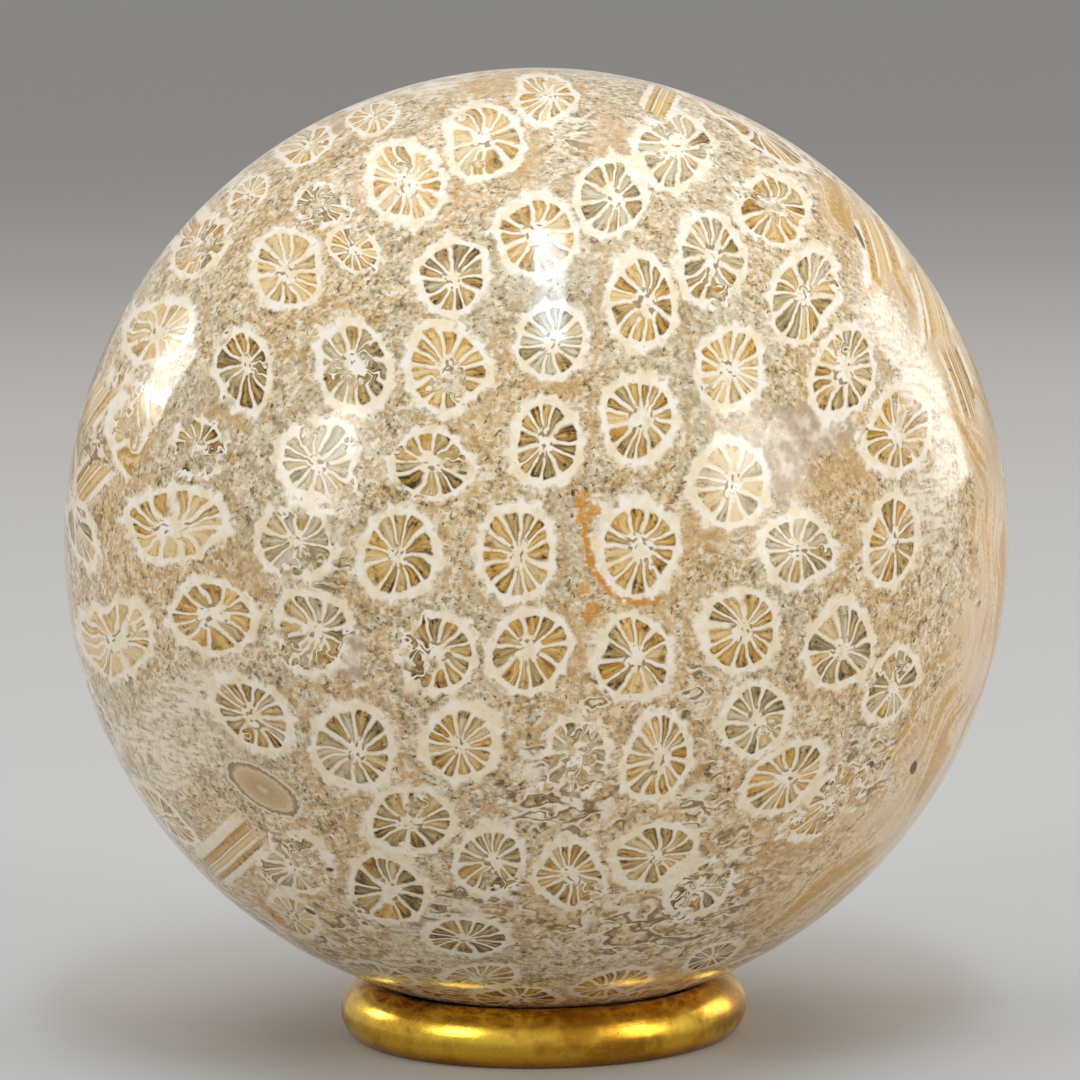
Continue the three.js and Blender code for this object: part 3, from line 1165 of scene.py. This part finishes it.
def select_points(piece, chosen):
    """Selects the points of a piece, in world coordinates, for which chosen is true, ready for edit mode."""
    bpy.ops.object.mode_set(mode="EDIT")
    bpy.ops.mesh.select_mode(type="VERT")
    bpy.ops.mesh.select_all(action="DESELECT")
    bpy.ops.object.mode_set(mode="OBJECT")
    for point in piece.data.vertices:
        point.select = chosen(piece.matrix_world @ point.co)
    bpy.ops.object.mode_set(mode="EDIT")


select_points(ring, lambda place: place.z < 0)
bpy.ops.transform.resize(value=(1, 1, 0), center_override=(0, 0, 0))
bpy.ops.object.mode_set(mode="OBJECT")
select_points(ring, lambda place: place.z < 0.001 * MM)
bpy.ops.mesh.select_mode(type="FACE")
bpy.ops.mesh.region_to_loop()
bpy.ops.mesh.bevel(offset=FOOT_BEVEL, segments=2)
bpy.ops.object.mode_set(mode="OBJECT")
place_in_mesh(ring)
bpy.ops.object.shade_smooth_by_angle(angle=math.radians(35))
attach(ring, "root")
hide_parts("ring_stand")
print("Ring's bar in mm:", round(2 * BAR_RADIUS / MM, 2), "hoop in mm:", round(2 * HOOP_RADIUS / MM, 2))

# %% [markdown]
# The brass is turned and hand-polished to a satin gloss: fine lines run round the ring, a few
# dull specks sit on it, and the colour deepens in large patches of tarnish, which also serve as painted
# dark reflections, and towards the foot as a painted reflection of a dark floor.

# %% Make the material of the brass
BRASS = (1.000, 0.640, 0.075, 1)
DEEP_BRASS = (0.440, 0.180, 0.012, 1)
BRUSHING = (1.2, 7.0, 7.0)  # long round the ring, fine across it
brass, bench, shader = new_material("satin_brass")
position = bench.scale(bench.node("TexCoord", {}).outputs["Object"], 1 / MM)
# Large tarnish patches, which also serve as painted dark reflections of a room.
tarnish_and_painted_reflection = bench.fade(bench.noise(position, 0.16, 4, 0.65), 0.42, 0.62)
cells = bench.node("TexVoronoi", {"Vector": position, "Scale": 0.9})
spots = bench.fade(cells.outputs["Distance"], 0.12, 0.05)
darkening_by_tarnish_and_painted_reflection = bench.calc("MAXIMUM", bench.times(tarnish_and_painted_reflection, 0.80), bench.times(spots, 0.7))
x, y, z = bench.parts(position)
# Darker towards the foot: a painted dark reflection, as of a dark floor under the ring.
darkening_by_tarnish_and_painted_reflection = bench.calc("MAXIMUM", darkening_by_tarnish_and_painted_reflection, bench.fade(bench.times_plus(tarnish_and_painted_reflection, -0.5, z), 1.5, -0.1, 0, 0.95))
bench.tree.links.new(bench.mix(darkening_by_tarnish_and_painted_reflection, BRASS, DEEP_BRASS), shader.inputs["Base Color"])
angle = bench.calc("ARCTAN2", y, x)
round_place = bench.node("CombineXYZ", {0: angle, 1: bench.vector("LENGTH", position), 2: z}).outputs[0]
brushed = bench.noise(bench.vector("MULTIPLY", round_place, BRUSHING), 1.0, 3, 0.7)
wear_inputs = {"Position": position, "Gloss": 0.22, "Clouding": 0.08, "Scratching": 0.25}
fine_wear = use_group(bench, "Fine wear", wear_inputs)
rough = bench.times_plus(spots, 0.3, fine_wear["Roughness"])
rough = bench.times_plus(bench.minus(brushed, 0.5), 0.12, rough)
bench.tree.links.new(rough, shader.inputs["Roughness"])
relief = bench.times_plus(fine_wear["Relief"], 0.5, bench.times(brushed, 0.8))
bump = bench.node("Bump", {"Height": relief, "Strength": 0.30, "Distance": 0.02 * MM})
bench.tree.links.new(bump.outputs[0], shader.inputs["Normal"])
shader.inputs["Metallic"].default_value = 1.0
ring.data.materials.clear()
ring.data.materials.append(brass)
print("Nodes in the brass:", len(bench.tree.nodes))

# %% [markdown]
# ## Floor, light and camera
#
# The setting is a plain pale floor under soft studio light. A narrow strip overhead draws the long
# highlight near the top of the ball, a soft box on each side draws one bright patch each, and two more
# from behind light the edges. Each lamp is placed by the direction from which its light has to come to
# show where it does.

# %% Lay the floor
FLOOR_RADIUS = 15.0
FLOOR_RIM = 3.0  # how wide its gently rising rim is
RIM_RISE = 0.4
FLOOR_TONE = (0.47, 0.465, 0.46, 1)
deselect_all()
rim_place = (0, 0, RIM_RISE)
bpy.ops.mesh.primitive_circle_add(vertices=96, radius=FLOOR_RADIUS, fill_type="NGON", location=rim_place)
floor = bpy.context.object
floor.name = "studio_floor"
bpy.ops.object.mode_set(mode="EDIT")
bpy.ops.mesh.select_all(action="SELECT")
bpy.ops.mesh.inset(thickness=FLOOR_RIM, depth=-RIM_RISE)
bpy.ops.object.mode_set(mode="OBJECT")
place_in_mesh(floor)
pale, bench, matt = new_material("pale_floor", "BsdfDiffuse")
matt.inputs["Color"].default_value = FLOOR_TONE
floor.data.materials.append(pale)
floor_heights = [point.co.z for point in floor.data.vertices]
print("Floor's middle and rim in m:", round(min(floor_heights), 3), round(max(floor_heights), 3))

# %% Hang the lamps
Lamp = namedtuple("Lamp", "name azimuth elevation turn distance width height power tone")
LAMPS = [
    Lamp("strip_overhead", 9.2, 66.8, -7.3, 0.8, 0.088, 0.43, 1.8, (0.58, 0.80, 1.0)),
    Lamp("soft_box_left", -53, 22, 0, 0.9, 0.40, 0.42, 1.55, (1.0, 0.96, 0.91)),
    Lamp("hot_middle_left", -51, 27, 0, 0.88, 0.15, 0.18, 0.40, (1.0, 0.97, 0.95)),
    Lamp("soft_box_right", 56, 15, 0, 0.9, 0.42, 0.60, 2.5, (1.0, 0.95, 0.88)),
    Lamp("hot_middle_right", 54, 24, 0, 0.88, 0.20, 0.20, 0.40, (1.0, 0.97, 0.95)),
    Lamp("edge_left", -116, 21, 0, 0.9, 0.20, 0.20, 0.9, (1.0, 0.96, 0.92)),
    Lamp("edge_right", 121, 16, 0, 0.9, 0.28, 0.44, 1.4, (1.0, 0.96, 0.92)),
    Lamp("ceiling_panel", 180, 80, 0, 1.2, 1.4, 1.4, 6.6, (1.0, 0.98, 0.95)),
]
ROOM_TONE = (0.66, 0.645, 0.62, 1)
ROOM_LIGHT = 0.80


def hang_lamp(lamp):
    """Hangs an area lamp in its direction from the ball, facing it. Azimuth 0 is the front, 90 the right."""
    azimuth = math.radians(lamp.azimuth)
    elevation = math.radians(lamp.elevation)
    level = math.cos(elevation)
    direction = Vector((math.sin(azimuth) * level, -math.cos(azimuth) * level, math.sin(elevation)))
    place = Vector(BALL_CENTRE) + direction * lamp.distance
    facing = direction.to_track_quat("Z", "Y") @ Quaternion((0, 0, 1), math.radians(lamp.turn))
    bpy.ops.object.light_add(type="AREA", location=place, rotation=facing.to_euler())
    light = bpy.context.object.data
    light.name = lamp.name
    light.shape = "ELLIPSE" if lamp.name.startswith(("soft", "hot")) else "RECTANGLE"
    light.size = lamp.width
    light.size_y = lamp.height
    light.energy = lamp.power
    light.color = lamp.tone
    bpy.context.object.name = lamp.name


for lamp in LAMPS:
    hang_lamp(lamp)
world = bpy.data.worlds.new("studio")
world.use_nodes = True
background = world.node_tree.nodes["Background"]
background.inputs["Color"].default_value = ROOM_TONE
background.inputs["Strength"].default_value = ROOM_LIGHT
bpy.context.scene.world = world
print("Lamps:", ", ".join(lamp.name for lamp in LAMPS))

# %% Set up the camera
deselect_all()
bpy.ops.object.camera_add(location=CAMERA_PLACE)
camera = bpy.context.object
camera.name = "picture_camera"
axes = Matrix([Vector(RIGHT), Vector(UP), Vector(-SIGHT)]).transposed()
camera.matrix_world = Matrix.Translation(CAMERA_PLACE) @ axes.to_4x4()
camera.data.sensor_width = SENSOR_WIDTH
camera.data.lens = FOCAL_PIXELS / PICTURE_PIXELS * SENSOR_WIDTH
camera.data.clip_start = 0.01
camera.data.clip_end = 20.0
bpy.context.scene.camera = camera
bpy.context.scene.view_settings.view_transform = "Standard"
print("Camera at, in mm:", [round(float(value) / MM) for value in CAMERA_PLACE])
